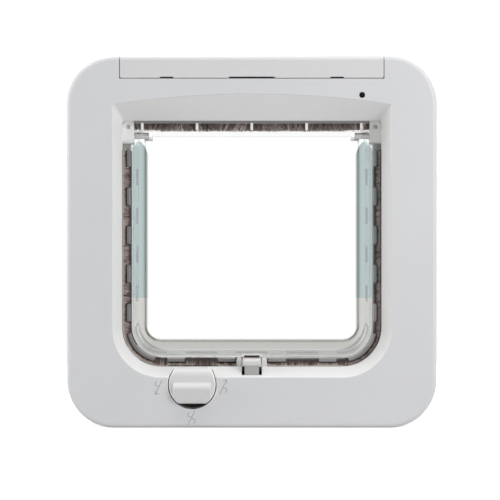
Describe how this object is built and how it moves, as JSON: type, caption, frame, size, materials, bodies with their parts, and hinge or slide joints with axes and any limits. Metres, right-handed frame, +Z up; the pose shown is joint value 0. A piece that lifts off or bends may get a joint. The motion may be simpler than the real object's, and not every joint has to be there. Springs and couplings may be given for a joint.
{
  "type": "cat flap",
  "caption": "Rounded square cat flap with a flared mouth, clear hinged flap in a brush seal, lock dial, sill catch, battery cover and a tunnel to an exterior frame.",
  "frame": {"origin": "centre of the inside unit's back face, where it bears on the room side of the door", "axes": "+Y goes through the door to the outside, +Z is up, +X is to the right seen from the room"},
  "size_m": [0.21, 0.0999, 0.211],
  "materials": {
    "housing_plastic": "fine satin moulding, pale grey-white",
    "tunnel_plastic": "satin moulding, warm white",
    "exterior_plastic": "fine satin moulding, pale grey-white",
    "cover_plastic": "fine satin moulding, pale grey-white",
    "dial_plastic": "satin moulding, pale grey-white",
    "catch_plastic": "satin moulding, white",
    "retainer_plastic": "glossy moulding, white",
    "guard_plastic": "smoky translucent moulding",
    "clear_plastic": "clear polished plastic with a faint aqua tint",
    "brush_pile": "dark brown pile",
    "steel": "plain steel",
    "motor_metal": "plain metal case",
    "cell_jacket": "plain dark jacket",
    "board_green": "green board",
    "light_black": "dark polished lens",
    "coil_tape": "coil bound with black cloth tape",
    "washer_rubber": "black rubber",
    "button_plastic": "grey button"
  },
  "bodies": {
    "housing": {"front_housing": "housing_plastic", "back_cover": "housing_plastic", "tunnel": "tunnel_plastic", "exterior_frame": "exterior_plastic", "fixing_screws": "steel", "housing_screws": "steel", "brush_surround": "brush_pile", "brush_guard": "guard_plastic", "brush_top": "brush_pile", "brush_retainer": "retainer_plastic", "hinge_bracket_left": "retainer_plastic", "hinge_bracket_right": "retainer_plastic", "catch_guide": "clear_plastic", "latch_motor": "motor_metal", "battery_tray": "housing_plastic", "battery_cell_1": "cell_jacket", "battery_cell_2": "cell_jacket", "battery_cell_3": "cell_jacket", "battery_cell_4": "cell_jacket", "battery_contacts": "steel", "circuit_board": "board_green", "status_light": "light_black", "antenna_coil": "coil_tape", "dial_washer": "washer_rubber"},
    "flap": {"flap": "clear_plastic", "hinge_pin_left": "retainer_plastic", "hinge_pin_right": "retainer_plastic"},
    "entry_catch": {"entry_catch": "catch_plastic", "catch_pad": "washer_rubber"},
    "exit_catch": {"exit_catch": "catch_plastic"},
    "lock_dial": {"lock_dial": "dial_plastic", "dial_clip": "steel"},
    "battery_cover": {"battery_cover": "cover_plastic"},
    "memory_button": {"memory_button": "button_plastic"}
  },
  "joints": [
    {"name": "flap_swing", "type": "hinge", "parent": "housing", "child": "flap", "pos_m": [0, -0.016, 0.0612], "axis": [1, 0, 0], "range_deg": [-85, 85]},
    {"name": "entry_catch_lift", "type": "slide", "parent": "housing", "child": "entry_catch", "axis": [0, 0, 1], "range_m": [0, 0.006]},
    {"name": "exit_catch_lift", "type": "slide", "parent": "housing", "child": "exit_catch", "axis": [0, 0, 1], "range_m": [0, 0.006]},
    {"name": "lock_dial_turn", "type": "hinge", "parent": "housing", "child": "lock_dial", "pos_m": [-0.0338, -0.036, -0.081], "axis": [0, -1, 0], "range_deg": [0, 270]},
    {"name": "battery_cover_lift", "type": "slide", "parent": "housing", "child": "battery_cover", "axis": [0, 0, 1], "range_m": [0, 0.04]},
    {"name": "memory_button_press", "type": "slide", "parent": "housing", "child": "memory_button", "axis": [0, 0, -1], "range_m": [0, 0.0009], "stiffness_N_per_m": 400}
  ]
}
